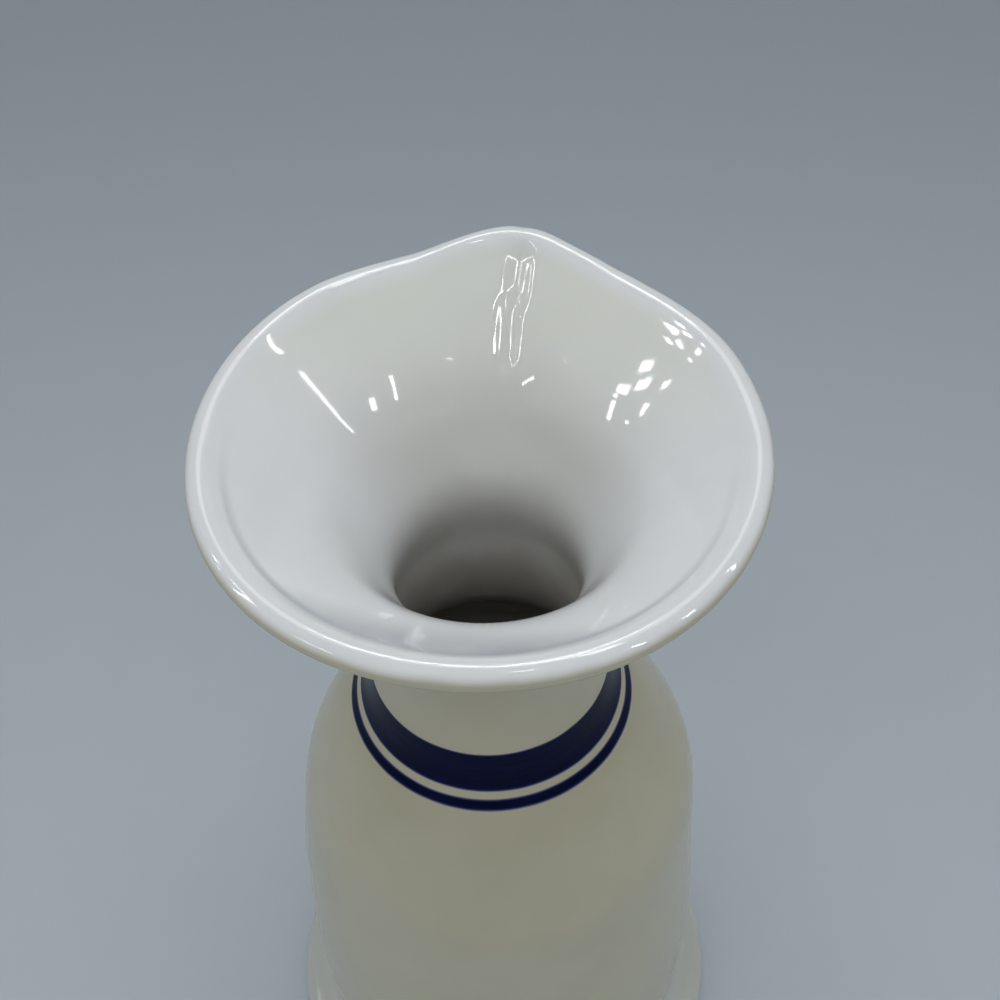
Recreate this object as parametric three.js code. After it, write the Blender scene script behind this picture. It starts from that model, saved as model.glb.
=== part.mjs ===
import * as THREE from 'three';

// A ceramic carafe with a flared mouth and a pulled pouring lip, as its maker puts it together.
// The pot is built in three clay pieces that are luted with slip: the body with its floor and
// shoulder, the neck with its trumpet mouth, and the flared foot ring. Two cobalt bands lie flush
// in shallow turned grooves, the wider one over the seam of the neck, and a white coat lines the
// pot from the floor up and over the rim.
//
// Sizes are in millimetres and angles in degrees. The axis is Z, the table is z = 0, and the lip
// points along +Y.

const TURNED_SIDES = 44;

// The film of slip in a luted joint, also left round each band and under the white coat.
const JOINT_GAP = 0.3;

// The outside contour from the waist to the mouth. Each station gives its radius, its height
// above the station before it, how far the contour leans from the vertical (positive where it
// opens upwards), and the thickness of the finished wall with its white coat. steps is the
// number of straight facets up to it from the station before it, where there is one.
const WAIST = { radius: 46.4, rise: 17, lean: 0, wall: 5.0 };
const BELLY = { radius: 47.9, rise: 25, lean: 0, wall: 4.6, steps: 2 };
const FLANK = { radius: 45.4, rise: 52, lean: -5, wall: 4.6, steps: 2 };
const SHOULDER = { radius: 43.4, rise: 19, lean: -11, wall: 4.8, steps: 2 };
const DOME = { radius: 36.6, rise: 17.5, lean: -26, wall: 5.2, steps: 3 };
const COLLAR = { radius: 29.1, rise: 12.4, lean: -38, wall: 6.0, steps: 2 };
const NECK_BASE = { radius: 24.4, rise: 12.1, lean: -14, wall: 5.8, steps: 3 };
const NECK_WAIST = { radius: 22.2, rise: 14, lean: 0, wall: 5.0, steps: 2 };
const THROAT = { radius: 23.9, rise: 18.7, lean: 35, wall: 5.4, steps: 4 };
const MOUTH = { radius: 50, rise: 27.5, lean: 52, wall: 5.2, steps: 5 };

// The rolled rim and the pulled lip. The white coat ends on the outside of the roll, at its
// widest line. The lip reaches outwards and up over a sector of the mouth, the maker's two
// fingers press the rim in a little on both sides of it, and its channel fades out down the
// funnel over the given depth.
const ROLL_STEPS = 6;
const LIP = { reach: 4.0, rise: 1.7, halfAngle: 27, sharpness: 3, depth: 30 };
const FINGER_PRESS = { depth: 0.7, angle: 32, halfAngle: 16 };

// The white coat inside.
const COAT_THICKNESS = 0.8;

// The floor of the body and the recess under it.
const RECESS_DEPTH = 6;
const FLOOR_THICKNESS = 6;
const FLOOR_FILLET = 9;
const FILLET_STEPS = 3;

// The foot ring: a flat seat, a rounded edge and a hollow flare up to the waist. The seat lies
// inside the rounding of the foot's edge.
const FOOT_RADIUS = 55;
const SEAT_WIDTH = 4.6;
const FOOT_EDGE_ROUNDING = 2.4;
const FOOT_EDGE_STEPS = 4;
const FLARE_STEPS = 6;
const FLARE_ENTRY_LEAN = -68;
const FOOT_SOCKET_WALL = 2.8;

// The seam between shoulder and neck, measured up from the collar station, and the spigot
// of the neck that stands in the shoulder.
const SEAM_ABOVE_COLLAR = 7.1;
const SPIGOT = { length: 6, thickness: 1.9 };

// The cobalt bands: depth of the cobalt, the wide band's reach on both sides of the seam, and the
// narrow band's width and its distance below the wide one.
const BAND_DEPTH = 0.8;
const WIDE_BAND = { below: 3.5, above: 5.4 };
const NARROW_BAND = { width: 1.7, spacing: 1.9 };

// Samples closer than this to a cut are left out, so that no sliver facets arise.
const LEAST_FACET = 0.5;

const radians = THREE.MathUtils.degToRad;

// The direction of a contour that leans from the vertical, going upwards.
function heading(lean) {
  return new THREE.Vector2(Math.sin(radians(lean)), Math.cos(radians(lean)));
}

// One stretch of contour between two placed stations, leaving and arriving at their leans.
function stretch(from, to) {
  const handle = from.point.distanceTo(to.point) / 3;
  const leave = from.point.clone().addScaledVector(heading(from.lean), handle);
  const arrive = to.point.clone().addScaledVector(heading(to.lean), -handle);
  return new THREE.CubicBezierCurve(from.point, leave, arrive, to.point);
}

const ORDER = [WAIST, BELLY, FLANK, SHOULDER, DOME, COLLAR, NECK_BASE, NECK_WAIST, THROAT, MOUTH];

// The stations at their places. The mouth's radius is that of the rolled rim, whose centre lies
// half a wall inside the contour.
function placedStations() {
  let height = 0;
  return ORDER.map((station) => {
    height += station.rise;
    const rollShift = (station.wall / 2) * (1 - Math.cos(radians(station.lean)));
    const radius = station === MOUTH ? station.radius - rollShift : station.radius;
    return { ...station, point: new THREE.Vector2(radius, height) };
  });
}

// Points along the outside contour, each with the direction into the wall and the wall there.
function contourSamples(stations) {
  const samples = [];
  for (let i = 1; i < stations.length; i += 1) {
    const curve = stretch(stations[i - 1], stations[i]);
    const first = i === 1 ? 0 : 1;
    for (let k = first; k <= stations[i].steps; k += 1) {
      const t = k / stations[i].steps;
      const tangent = curve.getTangent(t);
      samples.push({
        point: curve.getPoint(t),
        inward: new THREE.Vector2(-tangent.y, tangent.x),
        wall: THREE.MathUtils.lerp(stations[i - 1].wall, stations[i].wall, t),
      });
    }
  }
  return samples;
}

const STATIONS = placedStations();
const CONTOUR = contourSamples(STATIONS);
const WAIST_HEIGHT = STATIONS[0].point.y;
const MOUTH_HEIGHT = STATIONS[STATIONS.length - 1].point.y;

// The contour's facet at a height, cut between its two ends.
function cutAt(height) {
  const last = CONTOUR.length - 1;
  let i = 1;
  while (i < last && CONTOUR[i].point.y < height) i += 1;
  const low = CONTOUR[i - 1];
  const high = CONTOUR[i];
  const t = (height - low.point.y) / (high.point.y - low.point.y);
  return {
    point: low.point.clone().lerp(high.point, t),
    inward: low.inward.clone().lerp(high.inward, t).normalize(),
    wall: THREE.MathUtils.lerp(low.wall, high.wall, t),
  };
}

// The contour from one height up to another.
function between(low, high) {
  const inside = CONTOUR.filter(
    (s) => s.point.y > low + LEAST_FACET && s.point.y < high - LEAST_FACET,
  );
  return [cutAt(low), ...inside, cutAt(high)];
}

// A layer of the wall: the samples moved into the wall by a depth, or by a depth of their own.
function layer(samples, depth) {
  return samples.map((s) => {
    const amount = typeof depth === 'function' ? depth(s) : depth;
    return s.point.clone().addScaledVector(s.inward, amount);
  });
}

const coatFace = (s) => s.wall;
const coatBack = (s) => s.wall - COAT_THICKNESS;
const clayInside = (s) => s.wall - COAT_THICKNESS - JOINT_GAP;

// Points on an arc, from one angle to another, both ends included.
function arc(centre, radius, fromAngle, toAngle, steps) {
  const points = [];
  for (let k = 0; k <= steps; k += 1) {
    const angle = radians(THREE.MathUtils.lerp(fromAngle, toAngle, k / steps));
    points.push(new THREE.Vector2(
      centre.x + radius * Math.cos(angle),
      centre.y + radius * Math.sin(angle),
    ));
  }
  return points;
}

// The rim's roll is a half circle round the middle of the wall at the mouth.
const ROLL_RADIUS = MOUTH.wall / 2;
const ROLL_CENTRE = layer([CONTOUR[CONTOUR.length - 1]], ROLL_RADIUS)[0];
const ROLL_START = -MOUTH.lean;
const ROLL_WIDEST = 0;
const ROLL_END = 180 - MOUTH.lean;

// An arc of the roll at a radius, with as many facets as its share of the half circle.
function rollArc(radius, fromAngle, toAngle) {
  const steps = Math.max(2, Math.round((ROLL_STEPS * Math.abs(toAngle - fromAngle)) / 180));
  return arc(ROLL_CENTRE, radius, fromAngle, toAngle, steps);
}

// The fillet from the inner wall to the floor, and the end of that layer on the axis. The layers
// share the fillet's centre, so they stay parallel round the corner.
const FLOOR_HEIGHT = RECESS_DEPTH + FLOOR_THICKNESS;
const FILLET_TOP = FLOOR_HEIGHT + FLOOR_FILLET;

function floorAndFillet(depthUnderCoat) {
  const wallFoot = layer([cutAt(FILLET_TOP)], coatFace)[0];
  const centre = new THREE.Vector2(wallFoot.x - FLOOR_FILLET, FILLET_TOP);
  const radius = FLOOR_FILLET + depthUnderCoat;
  const curve = arc(centre, radius, -90, 0, FILLET_STEPS).slice(0, -1);
  return [new THREE.Vector2(0, FILLET_TOP - radius), ...curve];
}

// How far the lip and the finger marks move the mouth at an angle from the lip's middle.
function lipShape(angle) {
  const away = Math.abs(angle);
  if (away >= LIP.halfAngle) return 0;
  return Math.cos(((Math.PI / 2) * away) / LIP.halfAngle) ** LIP.sharpness;
}

function fingerShape(angle) {
  const away = Math.abs(Math.abs(angle) - FINGER_PRESS.angle);
  if (away >= FINGER_PRESS.halfAngle) return 0;
  return Math.cos(((Math.PI / 2) * away) / FINGER_PRESS.halfAngle) ** 2;
}

// Pulls the lip in a turned mouth. Every layer of the wall takes the same pull, so the layers
// stay clear of each other.
function pullLip(geometry) {
  const root = MOUTH_HEIGHT - LIP.depth;
  const position = geometry.getAttribute('position');
  const v = new THREE.Vector3();
  for (let i = 0; i < position.count; i += 1) {
    v.fromBufferAttribute(position, i);
    const radius = Math.hypot(v.x, v.y);
    const share = THREE.MathUtils.smoothstep(v.z, root, MOUTH_HEIGHT);
    if (share > 0 && radius > 0) {
      const angle = THREE.MathUtils.radToDeg(Math.atan2(v.x, v.y));
      const lip = lipShape(angle) * share;
      const outwards = LIP.reach * lip - FINGER_PRESS.depth * fingerShape(angle) * share;
      v.x *= 1 + outwards / radius;
      v.y *= 1 + outwards / radius;
      v.z += LIP.rise * lip;
      position.setXYZ(i, v.x, v.y, v.z);
    }
  }
  return geometry;
}

// Turns a closed section round the axis. The section runs with the clay on its left.
function turned(section) {
  const geometry = new THREE.LatheGeometry(section, TURNED_SIDES);
  geometry.rotateX(Math.PI / 2);
  return geometry;
}

function closed(section) {
  return [...section, section[0].clone()];
}

// Heights of the seam and of the bands' edges.
const COLLAR_HEIGHT = STATIONS[ORDER.indexOf(COLLAR)].point.y;
const SEAM = COLLAR_HEIGHT + SEAM_ABOVE_COLLAR;
const WIDE_LOW = SEAM - WIDE_BAND.below;
const WIDE_HIGH = SEAM + WIDE_BAND.above;
const NARROW_HIGH = WIDE_LOW - NARROW_BAND.spacing;
const NARROW_LOW = NARROW_HIGH - NARROW_BAND.width;
const GROOVE_DEPTH = BAND_DEPTH + JOINT_GAP;

// The spigot is the innermost clay of the neck, and the socket's wall stands outside of it.
const spigotOutside = (s) => clayInside(s) - SPIGOT.thickness;
const socketWall = (s) => spigotOutside(s) - JOINT_GAP;

const SPIGOT_RADIUS_AT_FOOT = WAIST.radius - FOOT_SOCKET_WALL - JOINT_GAP;

function bodyGeometry() {
  const outside = [
    new THREE.Vector2(0, RECESS_DEPTH),
    new THREE.Vector2(SPIGOT_RADIUS_AT_FOOT, RECESS_DEPTH),
    new THREE.Vector2(SPIGOT_RADIUS_AT_FOOT, WAIST_HEIGHT + JOINT_GAP),
    ...layer(between(WAIST_HEIGHT + JOINT_GAP, NARROW_LOW - JOINT_GAP), 0),
    ...layer(between(NARROW_LOW - JOINT_GAP, NARROW_HIGH + JOINT_GAP), GROOVE_DEPTH),
    ...layer(between(NARROW_HIGH + JOINT_GAP, WIDE_LOW - JOINT_GAP), 0),
    ...layer(between(WIDE_LOW - JOINT_GAP, SEAM), GROOVE_DEPTH),
  ];
  const socketFloor = SEAM - SPIGOT.length - JOINT_GAP;
  const inside = [
    ...floorAndFillet(COAT_THICKNESS + JOINT_GAP),
    ...layer(between(FILLET_TOP, socketFloor), clayInside),
    ...layer(between(socketFloor, SEAM), socketWall),
  ];
  return turned([...outside, ...inside.reverse()]);
}

function neckGeometry() {
  const outside = [
    ...layer(between(SEAM - SPIGOT.length, SEAM + JOINT_GAP), spigotOutside),
    ...layer(between(SEAM + JOINT_GAP, WIDE_HIGH + JOINT_GAP), GROOVE_DEPTH),
    ...layer(between(WIDE_HIGH + JOINT_GAP, MOUTH_HEIGHT), 0).slice(0, -1),
    ...rollArc(ROLL_RADIUS, ROLL_START, ROLL_WIDEST),
  ];
  const roll = rollArc(ROLL_RADIUS - COAT_THICKNESS - JOINT_GAP, ROLL_WIDEST, ROLL_END);
  const inside = layer(between(SEAM - SPIGOT.length, MOUTH_HEIGHT), clayInside).slice(0, -1);
  return pullLip(turned(closed([...outside, ...roll, ...inside.reverse()])));
}

function coatGeometry() {
  const backRadius = ROLL_RADIUS - COAT_THICKNESS;
  const edge = ROLL_WIDEST + THREE.MathUtils.radToDeg(JOINT_GAP / backRadius);
  const wall = between(FILLET_TOP, MOUTH_HEIGHT);
  const back = [
    ...floorAndFillet(COAT_THICKNESS),
    ...layer(wall, coatBack).slice(0, -1),
    ...rollArc(backRadius, ROLL_END, edge),
  ];
  const face = [
    ...floorAndFillet(0),
    ...layer(wall, coatFace).slice(0, -1),
    ...rollArc(ROLL_RADIUS, ROLL_END, edge),
  ];
  return pullLip(turned([...back, ...face.reverse()]));
}

function bandGeometry(low, high) {
  const samples = between(low, high);
  return turned(closed([...layer(samples, 0), ...layer(samples, BAND_DEPTH).reverse()]));
}

// The foot's outside runs from the seat round the edge and up the hollow flare to the waist.
function footOutside() {
  const edgeCentre = new THREE.Vector2(FOOT_RADIUS - FOOT_EDGE_ROUNDING, FOOT_EDGE_ROUNDING);
  const edge = arc(edgeCentre, FOOT_EDGE_ROUNDING, -90, -FLARE_ENTRY_LEAN, FOOT_EDGE_STEPS);
  const from = { point: edge[edge.length - 1], lean: FLARE_ENTRY_LEAN };
  const flare = stretch(from, STATIONS[0]).getPoints(FLARE_STEPS).slice(1);
  return [...edge, ...flare];
}

function footGeometry() {
  const socketRadius = WAIST.radius - FOOT_SOCKET_WALL;
  const seatInnerRadius = FOOT_RADIUS - FOOT_EDGE_ROUNDING - SEAT_WIDTH;
  const section = [
    new THREE.Vector2(seatInnerRadius, 0),
    ...footOutside(),
    new THREE.Vector2(socketRadius, WAIST_HEIGHT),
    new THREE.Vector2(socketRadius, RECESS_DEPTH),
  ];
  return turned(closed(section));
}

const creamGlaze = { color: 0xe9e4d2, roughness: 0.14, metalness: 0 };
const whiteGlaze = { color: 0xf1f3f2, roughness: 0.1, metalness: 0 };
const cobalt = { color: 0x10163f, roughness: 0.14, metalness: 0 };

const carafe = new THREE.Group();

function addPiece(name, geometry, finish) {
  const piece = new THREE.Mesh(geometry, new THREE.MeshStandardMaterial(finish));
  piece.name = name;
  carafe.add(piece);
}

addPiece('foot_ring', footGeometry(), creamGlaze);
addPiece('body', bodyGeometry(), creamGlaze);
addPiece('neck_and_mouth', neckGeometry(), creamGlaze);
addPiece('wide_band', bandGeometry(WIDE_LOW, WIDE_HIGH), cobalt);
addPiece('narrow_band', bandGeometry(NARROW_LOW, NARROW_HIGH), cobalt);
addPiece('white_lining', coatGeometry(), whiteGlaze);

export default carafe;
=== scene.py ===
"""A glazed carafe with a trumpet mouth and a pulled lip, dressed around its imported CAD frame.

Lengths in the maker's tables are in millimetres, and become metres where a mesh, a lamp or the
camera is made. The axis of the pot is Z, the table is z = 0 and the lip points along +Y.
"""

from __future__ import annotations

import logging
import math
from contextlib import contextmanager
from dataclasses import dataclass, field
from enum import Enum
from typing import Callable, Iterator, Sequence

import bmesh
import bpy
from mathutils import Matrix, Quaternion, Vector


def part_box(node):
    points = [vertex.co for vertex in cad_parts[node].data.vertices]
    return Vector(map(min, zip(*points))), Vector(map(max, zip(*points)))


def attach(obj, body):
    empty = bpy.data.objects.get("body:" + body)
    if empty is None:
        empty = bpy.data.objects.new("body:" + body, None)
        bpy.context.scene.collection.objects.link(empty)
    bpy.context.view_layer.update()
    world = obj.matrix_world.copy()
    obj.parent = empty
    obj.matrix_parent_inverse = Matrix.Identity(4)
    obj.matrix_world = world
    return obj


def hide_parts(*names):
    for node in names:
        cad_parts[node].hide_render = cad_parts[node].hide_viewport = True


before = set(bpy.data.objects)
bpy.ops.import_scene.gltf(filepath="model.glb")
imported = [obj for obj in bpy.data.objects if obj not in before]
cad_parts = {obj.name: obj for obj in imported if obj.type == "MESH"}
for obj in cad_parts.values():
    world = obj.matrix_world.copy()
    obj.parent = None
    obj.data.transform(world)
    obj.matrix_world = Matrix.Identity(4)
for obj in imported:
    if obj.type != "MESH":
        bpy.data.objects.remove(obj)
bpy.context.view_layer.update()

LOG = logging.getLogger("carafe")

MM = 0.001
MICROMETRE = 1e-6
SIDES = 240
RUN_ATTRIBUTE = "glaze_run"

# Points nearer than this count as one, in metres.
MERGE_REACH = 1e-6
SHARP_EDGE = math.radians(35)

# Steps along the pot's outline, and the narrow ring beside each seam that keeps the shading of
# two touching pieces alike.
OUTLINE_STEP = 1.0
SEAM_RING = 0.06

# How far down the white coat's face a fold can reach, and how far above or below a ring a point
# is still held with it.
FACE_REACH = 80.0
RING_REACH = 1.0

# A colour is red, green, blue and alpha. A reach is where something starts and where it ends.
Colour = tuple[float, ...]
Reach = tuple[float, float]
Held = Callable[[Vector, float], bool]
Socket = bpy.types.NodeSocket


class Slot(Enum):
    """The record's material slots."""

    CREAM = "cream_glaze"
    WHITE = "white_glaze"
    COBALT = "cobalt"


class Shine(Enum):
    """What a lamp is for."""

    LIGHT = "light"
    GLOSS = "gloss"


def pick_only(piece: bpy.types.Object) -> None:
    """Deselects everything, then selects one object and makes it the active one.

    Args:
        piece: The object.
    """
    bpy.ops.object.select_all(action="DESELECT")
    piece.select_set(True)
    bpy.context.view_layer.objects.active = piece


@contextmanager
def edited(whole: bool) -> Iterator[None]:
    """Opens the active object's mesh for editing while a block runs.

    Args:
        whole: Whether all of the mesh is selected at the start, or none of it.

    Yields:
        Nothing.
    """
    bpy.ops.object.mode_set(mode="EDIT")
    bpy.ops.mesh.select_all(action="SELECT" if whole else "DESELECT")
    yield
    bpy.ops.object.mode_set(mode="OBJECT")


def lowest(piece: bpy.types.Object) -> float:
    """Height of an object's lowest point, in metres."""
    return min(corner[2] for corner in piece.bound_box)


def span_of(node: str) -> tuple[Vector, Vector]:
    """A CAD node's lowest and highest corner, in millimetres."""
    low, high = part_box(node)
    return low / MM, high / MM


def clamped(share: float) -> float:
    """A share, kept between 0 and 1."""
    return min(1.0, max(0.0, share))


def hermite(
    t: float, start: float, leave: float, end: float, arrive: float
) -> tuple[float, float]:
    """A cubic curve from one value to another.

    Args:
        t: Place on the way, from 0 to 1.
        start: The first value.
        leave: The slope there, over the whole way.
        end: The second value.
        arrive: The slope there, over the whole way.

    Returns:
        The curve's value and its slope at that place.
    """
    value = (
        (2 * t**3 - 3 * t**2 + 1) * start
        + (t**3 - 2 * t**2 + t) * leave
        + (3 * t**2 - 2 * t**3) * end
        + (t**3 - t**2) * arrive
    )
    slope = (
        (6 * t**2 - 6 * t) * (start - end)
        + (3 * t**2 - 4 * t + 1) * leave
        + (3 * t**2 - 2 * t) * arrive
    )
    return value, slope


@dataclass(frozen=True)
class Station:
    """A place on the outside contour: its radius and height, how far the contour leans from the
    vertical there (in degrees, positive where it opens upwards) and the thickness of the wall."""

    radius: float
    height: float
    lean: float
    wall: float


@dataclass(frozen=True)
class Mark:
    """A point of an outline in the half plane right of the axis.

    run is how far the white coat has run from its edge on the outside of the rim.
    """

    radius: float
    height: float
    run: float = 0.0


@dataclass(frozen=True)
class Face:
    """The contour at one height: its radius, the direction into the wall, and the wall there."""

    radius: float
    height: float
    inward: tuple[float, float]
    wall: float

    def at_depth(self, depth: float) -> Mark:
        """The point that lies a depth inside the wall."""
        return Mark(self.radius + self.inward[0] * depth, self.height + self.inward[1] * depth)


@dataclass
class Contour:
    """The pot's outside from the waist to the mouth, faired as a turned profile is.

    The stations are joined by curves that keep their leans. The radii and the walls are then
    evened out over a few millimetres, because a glossy surface shows every change of curvature.
    """

    stations: Sequence[Station]
    pitch: float = 0.5
    padding: int = 24
    fairing_passes: int = 36
    radii: list[float] = field(init=False)
    walls: list[float] = field(init=False)

    def __post_init__(self) -> None:
        """Samples the stations at an even pitch and fairs the samples."""
        count = round((self.high - self.low) / self.pitch)
        heights = [self.low + self.pitch * i for i in range(count + 1)]
        raw = [self._between_stations(height) for height in heights]
        self.radii = self._faired([radius for radius, _ in raw])
        self.walls = self._faired([wall for _, wall in raw])

    @property
    def low(self) -> float:
        """Height of the lowest station."""
        return self.stations[0].height

    @property
    def high(self) -> float:
        """Height of the highest station."""
        return self.stations[-1].height

    def _between_stations(self, height: float) -> tuple[float, float]:
        """The curve between the two stations around a height.

        Args:
            height: The height.

        Returns:
            The radius and the wall there.
        """
        last = len(self.stations) - 1
        i = 1
        while i < last and self.stations[i].height < height:
            i += 1
        a, b = self.stations[i - 1], self.stations[i]
        rise = b.height - a.height
        t = clamped((height - a.height) / rise)
        leave = math.tan(math.radians(a.lean)) * rise
        arrive = math.tan(math.radians(b.lean)) * rise
        radius, _ = hermite(t, a.radius, leave, b.radius, arrive)
        return radius, a.wall + (b.wall - a.wall) * t

    def _faired(self, values: list[float]) -> list[float]:
        """Evens out a row of values, with both ends carried on straight beyond themselves.

        Args:
            values: What is evened out, at the contour's pitch.

        Returns:
            As many values, each averaged with its neighbours again and again.
        """
        first, last = values[0], values[-1]
        step_low, step_high = values[1] - first, last - values[-2]
        row = [first - step_low * (self.padding - i) for i in range(self.padding)]
        row += values
        row += [last + step_high * (i + 1) for i in range(self.padding)]
        for _ in range(self.fairing_passes):
            middle = [
                0.5 * row[i] + 0.25 * (row[i - 1] + row[i + 1]) for i in range(1, len(row) - 1)
            ]
            row = [row[0], *middle, row[-1]]
        return row[self.padding : -self.padding]

    def _value(self, row: list[float], height: float) -> tuple[float, float]:
        """A curve through the samples of a row.

        Args:
            row: The samples, at the contour's pitch.
            height: The height that is looked at.

        Returns:
            The value and its slope there.
        """
        place = (height - self.low) / self.pitch
        i = min(len(row) - 2, max(0, int(place)))
        before = row[i - 1] if i > 0 else 2 * row[0] - row[1]
        after = row[i + 2] if i + 2 < len(row) else 2 * row[-1] - row[-2]
        leave, arrive = (row[i + 1] - before) / 2, (after - row[i]) / 2
        value, slope = hermite(place - i, row[i], leave, row[i + 1], arrive)
        return value, slope / self.pitch

    def face(self, height: float) -> Face:
        """The contour at one height.

        Args:
            height: The height.

        Returns:
            The face there.
        """
        radius, slope = self._value(self.radii, height)
        wall, _ = self._value(self.walls, height)
        length = math.hypot(slope, 1.0)
        return Face(radius, height, (-1.0 / length, slope / length), wall)

    def faces(self, low: float, high: float, step: float = OUTLINE_STEP) -> list[Face]:
        """The contour from one height up to another, with a narrow ring at each end.

        Args:
            low: Height of the first face.
            high: Height of the last face.
            step: The widest rise from one face to the next.

        Returns:
            The faces, going up.
        """
        inner_low, inner_high = low + SEAM_RING, high - SEAM_RING
        count = max(1, math.ceil((inner_high - inner_low) / step))
        rise = (inner_high - inner_low) / count
        middle = [self.face(inner_low + rise * i) for i in range(count + 1)]
        return [self.face(low), *middle, self.face(high)]


def arc(
    centre: tuple[float, float], radius: float, start: float, end: float, steps: int
) -> list[Mark]:
    """Points on an arc.

    Args:
        centre: Radius and height of the arc's centre.
        radius: The arc's radius.
        start: First angle in degrees, from the outward direction upwards.
        end: Last angle in degrees.
        steps: How many pieces the arc has.

    Returns:
        The points, both ends included.
    """
    angles = [math.radians(start + (end - start) * k / steps) for k in range(steps + 1)]
    return [
        Mark(centre[0] + radius * math.cos(a), centre[1] + radius * math.sin(a)) for a in angles
    ]


def turned(name: str, outline: Sequence[Mark]) -> bpy.types.Object:
    """Draws an outline by extruding a point along it, and turns it round the axis.

    Args:
        name: Name of the new object.
        outline: Points that end where they start, as a ring's do, or that start and end on the
            axis, as a closed vessel's do.

    Returns:
        The turned object.
    """
    start = outline[0]
    place = Vector((start.radius, 0.0, start.height)) * MM
    bpy.ops.object.select_all(action="DESELECT")
    bpy.ops.mesh.primitive_plane_add(size=MM, location=place)
    piece = bpy.context.object
    piece.name = name
    piece.data.name = name
    bpy.ops.object.transform_apply(location=True, rotation=False, scale=False)
    with edited(whole=True):
        bpy.ops.mesh.merge(type="CENTER")
        for here, there in zip(outline, outline[1:]):
            move = Vector((there.radius - here.radius, 0.0, there.height - here.height)) * MM
            bpy.ops.mesh.extrude_vertices_move(TRANSFORM_OT_translate={"value": move})
    attribute = piece.data.attributes.new(RUN_ATTRIBUTE, "FLOAT", "POINT")
    attribute.data.foreach_set("value", [mark.run * MM for mark in outline])
    lathe = piece.modifiers.new("Lathe", "SCREW")
    lathe.axis = "Z"
    lathe.angle = 2 * math.pi
    lathe.steps = SIDES
    lathe.render_steps = SIDES
    lathe.use_merge_vertices = True
    lathe.merge_threshold = MERGE_REACH
    bpy.ops.object.modifier_apply(modifier=lathe.name)
    with edited(whole=True):
        bpy.ops.mesh.remove_doubles(threshold=MERGE_REACH)
        bpy.ops.mesh.normals_make_consistent(inside=False)
    return piece


def ring_at(height: float) -> Held:
    """Says of a point whether it lies on the ring at a height."""
    return lambda place, _: abs(place.z - height) < RING_REACH


def push(
    piece: bpy.types.Object, held: Held, move: tuple[float, float, float], spread: float
) -> int:
    """Moves some points of a piece, with the clay around them following smoothly.

    Args:
        piece: The piece.
        held: Says whether the fingers hold a point, by its place and its run in millimetres.
        move: How far they move it.
        spread: How far off the clay still follows.

    Returns:
        How many points were held.
    """
    pick_only(piece)
    with edited(whole=False):
        mesh = bmesh.from_edit_mesh(piece.data)
        run = mesh.verts.layers.float[RUN_ATTRIBUTE]
        points = [vert for vert in mesh.verts if held(vert.co / MM, vert[run] / MM)]
        for vert in points:
            vert.select = True
        mesh.select_flush_mode()
        bmesh.update_edit_mesh(piece.data)
        bpy.ops.transform.translate(
            value=Vector(move) * MM,
            use_proportional_edit=True,
            proportional_edit_falloff="SMOOTH",
            proportional_size=spread * MM,
        )
    return len(points)


def away_from(angle: float, place: Vector) -> float:
    """How far a place lies from an angle round the axis, in degrees, from -180 to 180."""
    away = math.degrees(math.atan2(place.x, place.y)) - angle
    return (away + 180.0) % 360.0 - 180.0


@dataclass(frozen=True)
class Pull:
    """One pull of the soft clay at the mouth.

    Attributes:
        angle: Where the fingers are, in degrees from the lip's middle, positive towards +X.
        arc: Half the width of what they hold, in degrees.
        low: Lowest point that they hold, measured down from the mouth.
        high: Highest point that they hold, measured down from the mouth.
        outward: How far they move away from the axis.
        upward: How far they move up.
        spread: How far the clay around them follows.
    """

    angle: float
    arc: float
    low: float
    high: float
    outward: float
    upward: float
    spread: float

    def apply(self, piece: bpy.types.Object, mouth: float) -> int:
        """Moves the clay.

        Args:
            piece: The mouth, all its layers in one mesh.
            mouth: Height of the mouth.

        Returns:
            How many points the fingers held.
        """

        def held(place: Vector, _: float) -> bool:
            """Whether the fingers hold a point."""
            near = abs(away_from(self.angle, place)) <= self.arc
            return near and self.high <= mouth - place.z <= self.low

        heading = math.radians(self.angle)
        across, along = math.sin(heading) * self.outward, math.cos(heading) * self.outward
        return push(piece, held, (across, along, self.upward), self.spread)


@dataclass(frozen=True)
class Fold:
    """A furrow or a ridge that fingers drew down the face of the white coat.

    Attributes:
        line: Angle and height of the points that it passes, going down.
        rise: How far it stands proud of the face, or lies below it where this is negative.
        spread: Half its width.
        arc: Half the width of what is held, in degrees.
        lean: How far the face leans from the vertical there, in degrees.
    """

    line: tuple[tuple[float, float], ...]
    rise: float
    spread: float
    arc: float = 0.8
    lean: float = 46.0

    def angle_at(self, height: float) -> float:
        """The line's angle at a height.

        Args:
            height: The height.

        Returns:
            The angle in degrees.
        """
        for (upper, top), (lower, bottom) in zip(self.line, self.line[1:]):
            if height >= bottom:
                return upper + (lower - upper) * clamped((top - height) / (top - bottom))
        return self.line[-1][0]

    def apply(self, piece: bpy.types.Object) -> int:
        """Draws the fold.

        Args:
            piece: The mouth, all its layers in one mesh.

        Returns:
            How many points were held.
        """
        top, bottom = self.line[0][1], self.line[-1][1]

        def held(place: Vector, run: float) -> bool:
            """Whether a point of the face lies on the line."""
            on_face = 0.0 < run < FACE_REACH and bottom <= place.z <= top
            return on_face and abs(away_from(self.angle_at(place.z), place)) <= self.arc

        heading = math.radians(sum(angle for angle, _ in self.line) / len(self.line))
        level = math.cos(math.radians(self.lean)) * self.rise
        upward = math.sin(math.radians(self.lean)) * self.rise
        across, along = -math.sin(heading) * level, -math.cos(heading) * level
        return push(piece, held, (across, along, upward), self.spread)


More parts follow.
